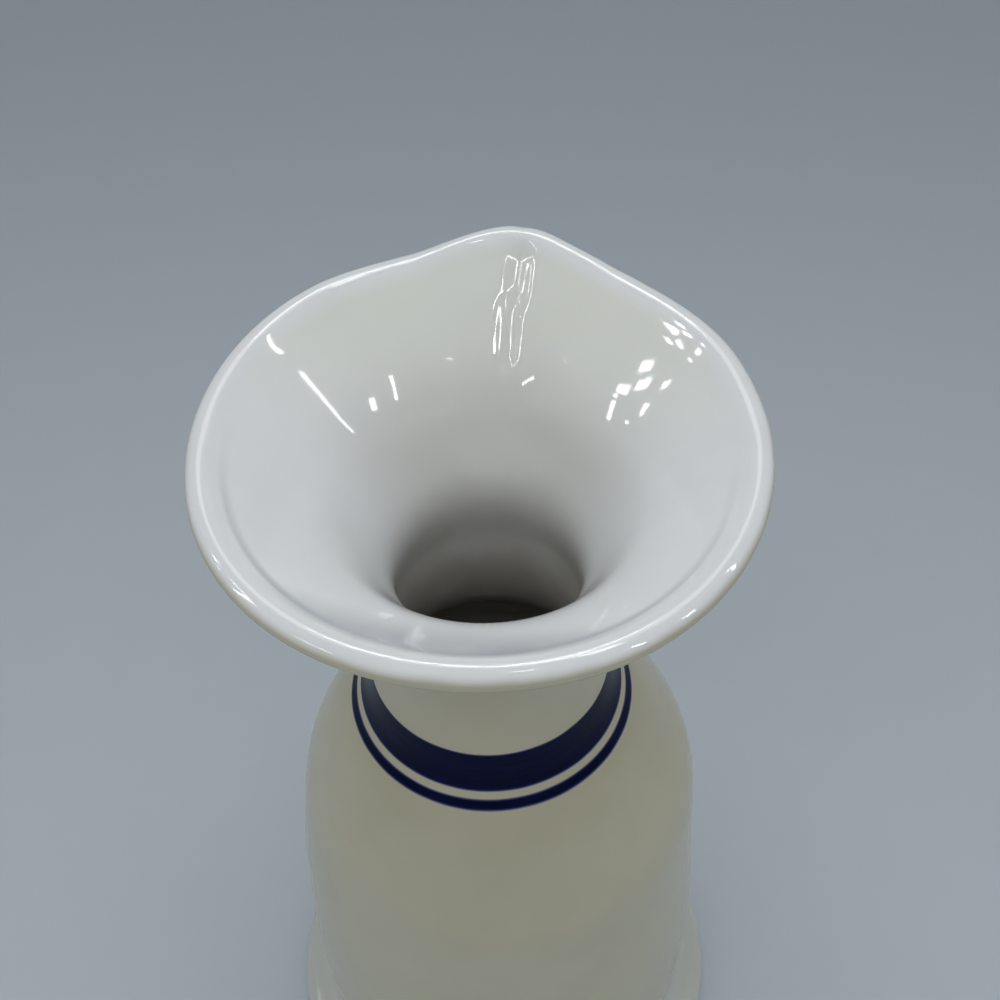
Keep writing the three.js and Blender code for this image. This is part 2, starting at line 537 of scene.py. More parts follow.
def finished(piece: bpy.types.Object, node: str, slot: Slot, *coats: bpy.types.Material) -> None:
    """Shades a piece, gives it its materials and puts it in its CAD node's place.

    Args:
        piece: The finished mesh.
        node: The CAD node that it stands for.
        slot: The record's slot that its finish comes from; it is not used.
        coats: Its materials.
    """
    pick_only(piece)
    bpy.ops.object.shade_smooth_by_angle(angle=SHARP_EDGE)
    for coat in coats:
        piece.data.materials.append(coat)
    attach(piece, "root")
    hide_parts(node)
    LOG.info("%s: %d faces, stands for %s", piece.name, len(piece.data.polygons), node)


class NodeSheet:
    """A node tree while it is being wired."""

    def __init__(self, tree: bpy.types.NodeTree) -> None:
        """Takes the tree as it is."""
        self.tree = tree

    def add(
        self, kind: str, inputs: dict[str | int, object], **settings: object
    ) -> bpy.types.Node:
        """Adds a node.

        Args:
            kind: The node's type.
            inputs: A value or an output socket for each input, by name or number.
            settings: The node's own settings.

        Returns:
            The new node.
        """
        node = self.tree.nodes.new(kind)
        for name, value in settings.items():
            setattr(node, name, value)
        for name, value in inputs.items():
            if isinstance(value, Socket):
                self.tree.links.new(value, node.inputs[name])
            else:
                node.inputs[name].default_value = value
        return node

    def use(self, group: bpy.types.NodeTree, inputs: dict[str | int, object]) -> Socket:
        """Adds a node group and gives its one output."""
        return self.add("ShaderNodeGroup", inputs, node_tree=group).outputs[0]

    def sum_up(self, operation: str, a: object, b: object = 0.0) -> Socket:
        """Works out one sum, of the kind that the Math node's operation names."""
        return self.add("ShaderNodeMath", {0: a, 1: b}, operation=operation).outputs[0]

    def times(self, first: object, *others: object) -> Socket:
        """Multiplies numbers.

        Args:
            first: The first number or socket.
            others: The numbers or sockets that it is multiplied by, one after the other.

        Returns:
            The socket with the product.
        """
        product = first
        for factor in others:
            product = self.sum_up("MULTIPLY", product, factor)
        return product

    def mix(self, share: object, a: object, b: object) -> Socket:
        """A colour between a and b, where share says how much of b there is, from 0 to 1."""
        # Sockets 6, 7 and 2 are the node's two colours and its mixed colour.
        return self.add("ShaderNodeMix", {0: share, 6: a, 7: b}, data_type="RGBA").outputs[2]

    def ramp(self, value: object, low: float, high: float) -> Socket:
        """A smooth step.

        Args:
            value: The number that is looked at.
            low: Where the step starts, with 0.
            high: Where it ends, with 1.

        Returns:
            The socket with the step.
        """
        inputs = {"Value": value, "From Min": low, "From Max": high}
        node = self.add("ShaderNodeMapRange", inputs, interpolation_type="SMOOTHSTEP")
        return node.outputs["Result"]

    def fade(self, length: object, reach: Reach) -> Socket:
        """A smooth step from the first to the second of two lengths in millimetres."""
        return self.ramp(length, reach[0] * MM, reach[1] * MM)

    def noise(
        self, where: Socket, scale: object, detail: float, roughness: float = 0.5
    ) -> Socket:
        """Soft noise around one half.

        Args:
            where: The coordinates.
            scale: Its cycles per metre.
            detail: How many finer layers it has.
            roughness: How strong they are.

        Returns:
            The socket with the noise.
        """
        inputs = {"Vector": where, "Scale": scale, "Detail": detail, "Roughness": roughness}
        return self.add("ShaderNodeTexNoise", inputs).outputs["Fac"]

    def relief(self, height: Socket) -> Socket:
        """The normal of a surface that stands out by a height in metres."""
        bump = self.add("ShaderNodeBump", {"Strength": 1.0, "Distance": 1.0, "Height": height})
        return bump.outputs["Normal"]


class MaterialSheet(NodeSheet):
    """The nodes of one new material, wired from the object's own coordinates."""

    def __init__(self, name: str) -> None:
        """Makes the material, empty but for the coordinates.

        Args:
            name: The material's name.
        """
        self.material = bpy.data.materials.new(name)
        self.material.use_nodes = True
        self.material.node_tree.nodes.clear()
        super().__init__(self.material.node_tree)
        self.where = self.add("ShaderNodeTexCoord", {}).outputs["Object"]

    def axis(self, letter: str) -> Socket:
        """One of the object's coordinates."""
        return self.add("ShaderNodeSeparateXYZ", {"Vector": self.where}).outputs[letter]

    def close(self, inputs: dict[str | int, object]) -> bpy.types.Material:
        """Adds the shader and the output.

        Args:
            inputs: The shader's inputs.

        Returns:
            The finished material.
        """
        shader = self.add("ShaderNodeBsdfPrincipled", inputs)
        self.add("ShaderNodeOutputMaterial", {"Surface": shader.outputs["BSDF"]})
        return self.material


class EffectGroup:
    """A node group that several glazes share."""

    def __init__(
        self, name: str, inputs: dict[str, object], output: str, colour: bool = False
    ) -> None:
        """Makes the group with its sockets.

        Args:
            name: Name of the group.
            inputs: Default of each input; None stands for a vector.
            output: Name of its one output.
            colour: Whether the output is a colour and not a number.
        """
        self.tree = bpy.data.node_groups.new(name, "ShaderNodeTree")
        for label, value in inputs.items():
            kind = "NodeSocketFloat"
            if value is None:
                kind = "NodeSocketVector"
            elif isinstance(value, tuple):
                kind = "NodeSocketColor"
            socket = self.tree.interface.new_socket(name=label, in_out="INPUT", socket_type=kind)
            if value is not None:
                socket.default_value = value
        kind = "NodeSocketColor" if colour else "NodeSocketFloat"
        self.tree.interface.new_socket(name=output, in_out="OUTPUT", socket_type=kind)
        self.sheet = NodeSheet(self.tree)
        self.inputs = self.sheet.add("NodeGroupInput", {}).outputs
        self.output = output

    def close(self, result: Socket) -> bpy.types.NodeTree:
        """Wires the result to the group's output and returns the group."""
        self.sheet.add("NodeGroupOutput", {self.output: result})
        return self.tree


class Effects:
    """The node groups that the glazes share, each built once."""

    def __init__(self) -> None:
        """Builds the groups."""
        self.ripple = self._ripple()
        self.cloud = self._cloud()
        self.specks = self._specks()
        self.edge = self._edge()

    @staticmethod
    def _ripple() -> bpy.types.NodeTree:
        """The surface of a fired glaze.

        Returns:
            The group, whose height has slow waves from the maker's hands and a fine peel.
        """
        depths = {"Wave depth": 0.0, "Peel depth": 0.0}
        scales = {"Wave scale": 60.0, "Peel scale": 700.0}
        group = EffectGroup("Glaze ripple", {"Vector": None, **scales, **depths}, "Height")
        sheet, given = group.sheet, group.inputs
        wave = sheet.noise(given["Vector"], given["Wave scale"], detail=1.0, roughness=0.4)
        peel = sheet.noise(given["Vector"], given["Peel scale"], detail=1.0)
        slow = sheet.times(wave, given["Wave depth"])
        fine = sheet.times(peel, given["Peel depth"])
        return group.close(sheet.sum_up("ADD", slow, fine))

    @staticmethod
    def _cloud() -> bpy.types.NodeTree:
        """Soft patches of a second colour, as where a glaze lies thicker.

        Returns:
            The group, whose output is the clouded colour.
        """
        colours = {"Colour": (0.8, 0.8, 0.8, 1.0), "Cloud": (0.7, 0.7, 0.7, 1.0)}
        inputs = {"Vector": None, **colours, "Scale": 40.0, "Amount": 0.5}
        group = EffectGroup("Glaze cloud", inputs, "Colour", colour=True)
        sheet, given = group.sheet, group.inputs
        noise = sheet.noise(given["Vector"], given["Scale"], detail=3.0, roughness=0.55)
        patch = sheet.ramp(noise, low=0.32, high=0.68)
        share = sheet.times(patch, given["Amount"])
        return group.close(sheet.mix(share, given["Colour"], given["Cloud"]))

    @staticmethod
    def _specks() -> bpy.types.NodeTree:
        """Pinholes and iron specks: tiny dots in some cells of a loose grid.

        Returns:
            The group, whose mask is 1 on a speck.
        """
        smallest_dot = 0.4
        inputs = {"Vector": None, "Scale": 90.0, "Size": 0.02, "Share": 0.1}
        group = EffectGroup("Kiln specks", inputs, "Mask")
        sheet, given = group.sheet, group.inputs
        grid = {"Vector": given["Vector"], "Scale": given["Scale"]}
        cell = sheet.add("ShaderNodeTexVoronoi", grid)
        shade = sheet.add("ShaderNodeSeparateColor", {"Color": cell.outputs["Color"]})
        chosen = sheet.sum_up("LESS_THAN", shade.outputs["Red"], given["Share"])
        spread = sheet.sum_up("ADD", shade.outputs["Green"], smallest_dot)
        reach = sheet.times(given["Size"], spread)
        near = sheet.sum_up("DIVIDE", cell.outputs["Distance"], reach)
        dot = sheet.ramp(near, low=1.0, high=0.45)
        return group.close(sheet.times(dot, chosen))

    @staticmethod
    def _edge() -> bpy.types.NodeTree:
        """A soft, slightly uneven edge.

        Returns:
            The group, whose mask is 0 below a limit and 1 above it.
        """
        middle = 0.5
        inputs = {"Vector": None, "Value": 0.0, "Edge": 0.0, "Softness": 0.001, "Wobble": 0.0}
        group = EffectGroup("Soft edge", inputs, "Mask")
        sheet, given = group.sheet, group.inputs
        noise = sheet.noise(given["Vector"], scale=130.0, detail=2.0)
        swing = sheet.times(sheet.sum_up("SUBTRACT", noise, middle), given["Wobble"])
        past = sheet.sum_up("SUBTRACT", sheet.sum_up("ADD", given["Value"], swing), given["Edge"])
        share = sheet.sum_up("ADD", sheet.sum_up("DIVIDE", past, given["Softness"]), middle)
        return group.close(sheet.ramp(share, 0.0, 1.0))


@dataclass(frozen=True)
class GlazeSkin:
    """What a glaze's surface is like.

    Depths are in micrometres and scales in cycles per metre.
    """

    roughness: float
    roughness_swing: float
    wave_scale: float
    wave_depth: float
    peel_scale: float
    peel_depth: float
    ior: float = 1.5
    breath_scale: float = 35.0

    def finish(self, sheet: MaterialSheet, effects: Effects, colour: Socket) -> bpy.types.Material:
        """Adds the shader with this surface.

        Args:
            sheet: The material's nodes.
            effects: The shared node groups.
            colour: The glaze's colour.

        Returns:
            The finished material.
        """
        depths = {
            "Wave depth": self.wave_depth * MICROMETRE,
            "Peel depth": self.peel_depth * MICROMETRE,
        }
        scales = {"Wave scale": self.wave_scale, "Peel scale": self.peel_scale}
        ripple = sheet.use(effects.ripple, {"Vector": sheet.where, **scales, **depths})
        breath = sheet.noise(sheet.where, self.breath_scale, detail=2.0)
        rough = sheet.sum_up("ADD", sheet.times(breath, self.roughness_swing), self.roughness)
        return sheet.close(
            {
                "Base Color": colour,
                "Roughness": rough,
                "Normal": sheet.relief(ripple),
                "IOR": self.ior,
            }
        )


@dataclass(frozen=True)
class Cloud:
    """Soft patches in a glaze: their colour, their cycles per metre and their strength."""

    colour: Colour
    scale: float
    amount: float

    def over(self, sheet: MaterialSheet, effects: Effects, where: Socket, glaze: object) -> Socket:
        """A glaze with its patches.

        Args:
            sheet: The material's nodes.
            effects: The shared node groups.
            where: The coordinates that the patches follow.
            glaze: The glaze's colour or its socket.

        Returns:
            The socket with the clouded colour.
        """
        inputs = {"Vector": where, "Colour": glaze, "Cloud": self.colour}
        return sheet.use(effects.cloud, {**inputs, "Scale": self.scale, "Amount": self.amount})


@dataclass(frozen=True)
class Specks:
    """Dots in a glaze: their colour, cells per metre, size in a cell, and share of the cells."""

    colour: Colour
    scale: float
    size: float
    share: float

    def over(self, sheet: MaterialSheet, effects: Effects, glaze: Socket) -> Socket:
        """A glaze with its dots.

        Args:
            sheet: The material's nodes.
            effects: The shared node groups.
            glaze: The glaze's colour.

        Returns:
            The socket with the specked colour.
        """
        inputs = {"Scale": self.scale, "Size": self.size, "Share": self.share}
        mask = sheet.use(effects.specks, {"Vector": sheet.where, **inputs})
        return sheet.mix(mask, glaze, self.colour)


@dataclass(frozen=True)
class CreamGlaze:
    """Clear, glossy glaze over warm cream clay, with painted reflection cooling it low on the foot.
    """

    effects: Effects
    colour: Colour = (0.520, 0.492, 0.370, 1.0)
    # Painted reflection: the cool light that the foot's flare reflects, faded into the cream going
    # down.
    foot: Colour = (0.520, 0.535, 0.500, 1.0)
    foot_reflection_fade: Reach = (34.0, 12.0)
    cloud: Cloud = Cloud((0.475, 0.450, 0.325, 1.0), 38.0, 0.6)
    specks: Specks = Specks((0.20, 0.15, 0.09, 1.0), 75.0, 0.018, 0.10)
    skin: GlazeSkin = GlazeSkin(0.120, 0.05, 45.0, 30.0, 520.0, 1.1)

    def colour_on(self, sheet: MaterialSheet) -> Socket:
        """The cream's colour, which the other glazes fade into.

        Args:
            sheet: The material's nodes.

        Returns:
            The socket with the colour, its clouds and its specks.
        """
        clouded = self.cloud.over(sheet, self.effects, sheet.where, self.colour)
        # Painted reflection: the glaze turns cooler going down towards the foot.
        painted_light = sheet.fade(sheet.axis("Z"), self.foot_reflection_fade)
        return self.specks.over(sheet, self.effects, sheet.mix(painted_light, clouded, self.foot))

    def material(self) -> bpy.types.Material:
        """The glaze as a material."""
        sheet = MaterialSheet("cream_glaze")
        return self.skin.finish(sheet, self.effects, self.colour_on(sheet))


@dataclass(frozen=True)
class WhiteCoat:
    """Cool white lining glaze, yellower in the lip, with painted shade: greyer on the near wall,
    darker and browner far down and on the back wall, and a dark line in the crease under the roll.

    Each fade goes from nothing at its first length to all at its second, in millimetres. The runs
    are measured down the coat's face from its edge, and the fades along Y, towards the lip.
    """

    effects: Effects
    cream: CreamGlaze
    rim: Colour = (0.865, 0.875, 0.890, 1.0)
    run_down: Colour = (0.875, 0.885, 0.900, 1.0)
    # Painted shade: a greyer white on the funnel's near wall, where less light falls.
    near: Colour = (0.480, 0.500, 0.545, 1.0)
    lip: Colour = (0.810, 0.818, 0.750, 1.0)
    # Painted shade: a blue-grey line in the crease under the rim's roll, strongest on the near
    # side.
    painted_light: Colour = (0.460, 0.485, 0.545, 1.0)
    # Painted shade: the white darker and browner far down the throat, where little light reaches.
    deep_shade: Colour = (0.530, 0.500, 0.450, 1.0)
    face_run: Reach = (5.0, 10.0)
    lip_fade: Reach = (0.0, 40.0)
    near_shade_fade: Reach = (-30.0, -41.0)
    shade_line: float = 9.0
    shade_above: float = 1.3
    shade_below: float = 1.9
    shade_fade: Reach = (5.0, -40.0)
    shade_share: float = 0.8
    deep_shade_run: Reach = (38.0, 80.0)
    # Painted shade down the funnel's back wall below the lip, mixed towards the deep colour.
    back_shade_run: Reach = (18.0, 42.0)
    back_shade_fade: Reach = (2.0, 18.0)
    back_shade_share: float = 0.35
    edge_run: float = 1.4
    edge_softness: float = 2.1
    edge_wobble: float = 0.8
    cloud: Cloud = Cloud((0.790, 0.800, 0.805, 1.0), 55.0, 0.35)
    specks: Specks = Specks((0.22, 0.17, 0.12, 1.0), 95.0, 0.020, 0.14)
    skin: GlazeSkin = GlazeSkin(0.045, 0.03, 75.0, 55.0, 600.0, 1.0)

    def _white_on(self, sheet: MaterialSheet, run: Socket) -> Socket:
        """The coat's own colour.

        Args:
            sheet: The material's nodes.
            run: How far the coat has run.

        Returns:
            The socket with the colour.
        """
        along = sheet.axis("Y")
        down = sheet.fade(run, self.face_run)
        far = sheet.times(sheet.fade(along, self.lip_fade), down)
        # Painted shade on the funnel's near wall.
        near = sheet.times(sheet.fade(along, self.near_shade_fade), down)
        white = sheet.mix(far, sheet.mix(down, self.rim, self.run_down), self.lip)
        white = sheet.mix(near, white, self.near)
        # Painted shade in the crease under the roll.
        into = sheet.fade(run, (self.shade_line - self.shade_above, self.shade_line))
        out_of = sheet.fade(run, (self.shade_line + self.shade_below, self.shade_line))
        crease_shade = sheet.times(into, out_of, self.shade_share, sheet.fade(along, self.shade_fade))
        white = sheet.mix(crease_shade, white, self.painted_light)
        # Painted shade far down the throat.
        white = sheet.mix(sheet.fade(run, self.deep_shade_run), white, self.deep_shade)
        # Painted shade down the back wall below the lip.
        down_back_shade = sheet.fade(run, self.back_shade_run)
        across_back_shade = sheet.fade(along, self.back_shade_fade)
        painted_back_shade = sheet.times(down_back_shade, across_back_shade, self.back_shade_share)
        return sheet.mix(painted_back_shade, white, self.deep_shade)

    def material(self) -> bpy.types.Material:
        """The coat as a material, which ends in a soft edge outside the rim.

        Returns:
            The material.
        """
        sheet = MaterialSheet("white_glaze")
        run = sheet.add("ShaderNodeAttribute", {}, attribute_name=RUN_ATTRIBUTE).outputs["Fac"]
        white = self._white_on(sheet, run)
        clouded = self.cloud.over(sheet, self.effects, sheet.where, white)
        spotted = self.specks.over(sheet, self.effects, clouded)
        limits = {
            "Edge": self.edge_run * MM,
            "Softness": self.edge_softness * MM,
            "Wobble": self.edge_wobble * MM,
        }
        edge = sheet.use(self.effects.edge, {"Vector": sheet.where, "Value": run, **limits})
        colour = sheet.mix(edge, self.cream.colour_on(sheet), spotted)
        return self.skin.finish(sheet, self.effects, colour)


@dataclass(frozen=True)
class CobaltBand:
    """Cobalt banded under the glaze, with edges that have bled into the cream.

    The solid blue ends inset inside the band's edges, and fades over solid_softness; the bleed
    fades over softness. Both are in millimetres.
    """

    effects: Effects
    cream: CreamGlaze
    colour: Colour = (0.0015, 0.0025, 0.022, 1.0)
    bleed: Colour = (0.05, 0.07, 0.20, 1.0)
    softness: float = 0.42
    solid_inset: float = 0.25
    solid_softness: float = 0.55
    wobble: float = 0.22
    brush_stretch: tuple[float, float, float] = (0.25, 0.25, 3.0)
    cloud: Cloud = Cloud((0.004, 0.008, 0.055, 1.0), 300.0, 0.35)
    skin: GlazeSkin = GlazeSkin(0.085, 0.05, 45.0, 30.0, 520.0, 1.1, 1.18)

    def material(self, name: str, edges: Reach) -> bpy.types.Material:
        """The band as a material.

        Args:
            name: Name of the material.
            edges: Heights of the cobalt's lower and upper edge.

        Returns:
            The material, cream outside of the two edges.
        """
        sheet = MaterialSheet(name)
        stretch = {"Vector": sheet.where, "Scale": self.brush_stretch}
        around = sheet.add("ShaderNodeMapping", stretch).outputs["Vector"]
        brushed = self.cloud.over(sheet, self.effects, around, self.colour)
        solid = self._inside(sheet, edges, self.solid_inset, self.solid_softness)
        blue = sheet.mix(solid, self.bleed, brushed)
        band = self._inside(sheet, edges, 0.0, self.softness)
        colour = sheet.mix(band, self.cream.colour_on(sheet), blue)
        return self.skin.finish(sheet, self.effects, colour)

    def _inside(
        self, sheet: MaterialSheet, edges: Reach, inset: float, softness: float
    ) -> Socket:
        """How far a point is inside the band.

        Args:
            sheet: The material's nodes.
            edges: Heights of the lower and upper edge.
            inset: How far both edges are moved inwards.
            softness: Width over which an edge fades.

        Returns:
            The socket with 1 inside and 0 outside.
        """
        height = sheet.axis("Z")
        masks = []
        for sign, limit in ((1.0, edges[0] + inset), (-1.0, edges[1] - inset)):
            value = sheet.times(height, sign)
            limits = {
                "Edge": sign * limit * MM,
                "Softness": softness * MM,
                "Wobble": self.wobble * MM,
            }
            inputs = {"Vector": sheet.where, "Value": value, **limits}
            masks.append(sheet.use(self.effects.edge, inputs))
        return sheet.times(*masks)


@dataclass(frozen=True)
class BareClay:
    """Unglazed, wiped and ground clay under the foot.

    The depth of its grain is in micrometres, and scales are in cycles per metre.
    """

    colour: Colour = (0.62, 0.54, 0.42, 1.0)
    worn: Colour = (0.46, 0.41, 0.34, 1.0)
    grain_scale: float = 1400.0
    grain_depth: float = 40.0
    wear_scale: float = 90.0
    wear_step: Reach = (0.45, 0.7)
    roughness: float = 0.7
    roughness_swing: float = 0.2

    def material(self) -> bpy.types.Material:
        """The clay as a material.

        Returns:
            The material.
        """
        sheet = MaterialSheet("bare_clay")
        grain = sheet.noise(sheet.where, self.grain_scale, detail=4.0)
        wear = sheet.noise(sheet.where, self.wear_scale, detail=4.0)
        colour = sheet.mix(sheet.ramp(wear, *self.wear_step), self.colour, self.worn)
        height = sheet.times(grain, self.grain_depth * MICROMETRE)
        rough = sheet.sum_up("ADD", sheet.times(grain, self.roughness_swing), self.roughness)
        return sheet.close(
            {"Base Color": colour, "Roughness": rough, "Normal": sheet.relief(height)}
        )


@dataclass
class Bands:
    """The two cobalt bands, laid flush in the wall."""

    contour: Contour
    depth: float = 0.8
    overlap: float = 0.5

    def __post_init__(self) -> None:
        """Reads the bands' edges from the frame; neck and body meet in the wide one's middle."""
        self.wide = tuple(corner.z for corner in span_of("wide_band"))
        self.narrow = tuple(corner.z for corner in span_of("narrow_band"))
        self.seam = self.wide[0] + (self.wide[1] - self.wide[0]) / 2

    def groove(self, edges: Reach) -> Reach:
        """Lower and upper edge of the groove that a band lies in."""
        return edges[0] - self.overlap, edges[1] + self.overlap

    def build(self, name: str, node: str, edges: Reach, coat: bpy.types.Material) -> None:
        """Turns one band.

        Args:
            name: Name of the piece.
            node: The CAD node that it stands for.
            edges: Heights of the cobalt's edges.
            coat: Its material.
        """
        faces = self.contour.faces(*self.groove(edges))
        front = [face.at_depth(0.0) for face in faces]
        back = [face.at_depth(self.depth) for face in reversed(faces)]
        band = turned(name, [*front, *back, front[0]])
        finished(band, node, Slot.COBALT, coat)


@dataclass
class Foot:
    """The flared foot: a bare seat, a rounded edge and a hollow flare up to the waist.

    It is splayed a little wider than the frame's, and leans off the axis towards -X.
    """

    contour: Contour
    seat_width: float = 4.6
    seat_reach: float = 0.3
    seat_facing: float = -0.9
    edge_rounding: float = 4.4
    splay: float = 0.5
    lean: float = 0.5
    lean_spread: float = 20.0
    entry_lean: float = -68.0
    socket_wall: float = 2.8
    recess: float = 6.0
    flare_steps: int = 24
    edge_steps: int = 10

    def flare(self, radius: float) -> list[Mark]:
        """The outside from the seat round the edge and up the flare to the waist.

        Args:
            radius: Radius of the foot's edge.

        Returns:
            Its points, going up.
        """
        centre = (radius - self.edge_rounding, self.edge_rounding)
        edge = arc(centre, self.edge_rounding, -90.0, -self.entry_lean, self.edge_steps)
        start, waist = edge[-1], self.contour.face(self.contour.low)
        a = Vector((start.radius, start.height))
        d = Vector((waist.radius, waist.height))
        handle = (d - a).length / 3
        lean = math.radians(self.entry_lean)
        b = a + Vector((math.sin(lean), math.cos(lean))) * handle
        c = d - Vector((0.0, 1.0)) * handle
        shares = [k / self.flare_steps for k in range(1, self.flare_steps)]
        shares += [1.0 - SEAM_RING / handle / 3, 1.0]
        curve = [
            a * (1 - t) ** 3 + b * 3 * t * (1 - t) ** 2 + c * 3 * t**2 * (1 - t) + d * t**3
            for t in shares
        ]
        return [*edge, *(Mark(p.x, p.y) for p in curve)]

    def build(self, cream: bpy.types.Material, bare: bpy.types.Material) -> None:
        """Turns the foot, with bare clay on its seat.

        Args:
            cream: The glaze.
            bare: The bare clay.
        """
        low, high = span_of("foot_ring")
        radius = high.x + self.splay
        inner = radius - self.edge_rounding - self.seat_width
        socket = self.contour.face(self.contour.low).radius - self.socket_wall
        seat = Mark(inner, low.z)
        outline = [seat, *self.flare(radius), Mark(socket, high.z), Mark(socket, self.recess), seat]
        foot = turned("foot", outline)

        def held(place: Vector, _: float) -> bool:
            """Whether a point lies at the seat, which sits a little off the axis."""
            return place.z < self.edge_rounding

        push(foot, held, (-self.lean, 0.0, 0.0), self.lean_spread)
        finished(foot, "foot_ring", Slot.CREAM, cream, bare)
        pick_only(foot)
        with edited(whole=False):
            mesh = bmesh.from_edit_mesh(foot.data)
            for face in mesh.faces:
                low_down = face.calc_center_median().z < self.seat_reach * MM
                face.select = low_down and face.normal.z < self.seat_facing
            bmesh.update_edit_mesh(foot.data)
            foot.active_material_index = 1
            bpy.ops.object.material_slot_assign()


@dataclass
class Body:
    """The body with its floor and shoulder, up to the seam with the neck.

    Its shoulder has slumped a little towards +X.
    """

    contour: Contour
    bands: Bands
    foot: Foot
    floor_top: float = 12.0
    fillet: float = 9.0
    fillet_steps: int = 8
    wall_step: float = 4.0
    coat: float = 0.8
    slump: float = 0.8
    slump_height: float = 113.0
    slump_spread: float = 27.0

    def build(self, cream: bpy.types.Material) -> None:
        """Turns the body as one closed vessel.

        Args:
            cream: The glaze.
        """
        seam, depth = self.bands.seam, self.bands.depth
        narrow, wide = self.bands.groove(self.bands.narrow), self.bands.groove(self.bands.wide)
        socket = self.contour.face(self.contour.low).radius - self.foot.socket_wall
        stretches = (
            (self.contour.low, narrow[0], 0.0),
            (narrow[0], narrow[1], depth),
            (narrow[1], wide[0], 0.0),
            (wide[0], seam, depth),
        )
        outline = [Mark(0.0, self.foot.recess), Mark(socket, self.foot.recess)]
        for low, high, sunk in stretches:
            outline += [face.at_depth(sunk) for face in self.contour.faces(low, high)]
        wall_foot = self.floor_top + self.fillet
        wall_faces = self.contour.faces(wall_foot, seam, step=self.wall_step)
        wall = [face.at_depth(face.wall - self.coat) for face in wall_faces]
        centre = (wall[0].radius - self.fillet - self.coat, wall_foot)
        outline += wall[::-1]
        outline += arc(centre, self.fillet + self.coat, 0.0, -90.0, self.fillet_steps)[1:]
        outline.append(Mark(0.0, self.floor_top - self.coat))
        body = turned("body_glazed", outline)
        push(body, ring_at(self.slump_height), (self.slump, 0.0, 0.0), self.slump_spread)
        finished(body, "body", Slot.CREAM, cream)


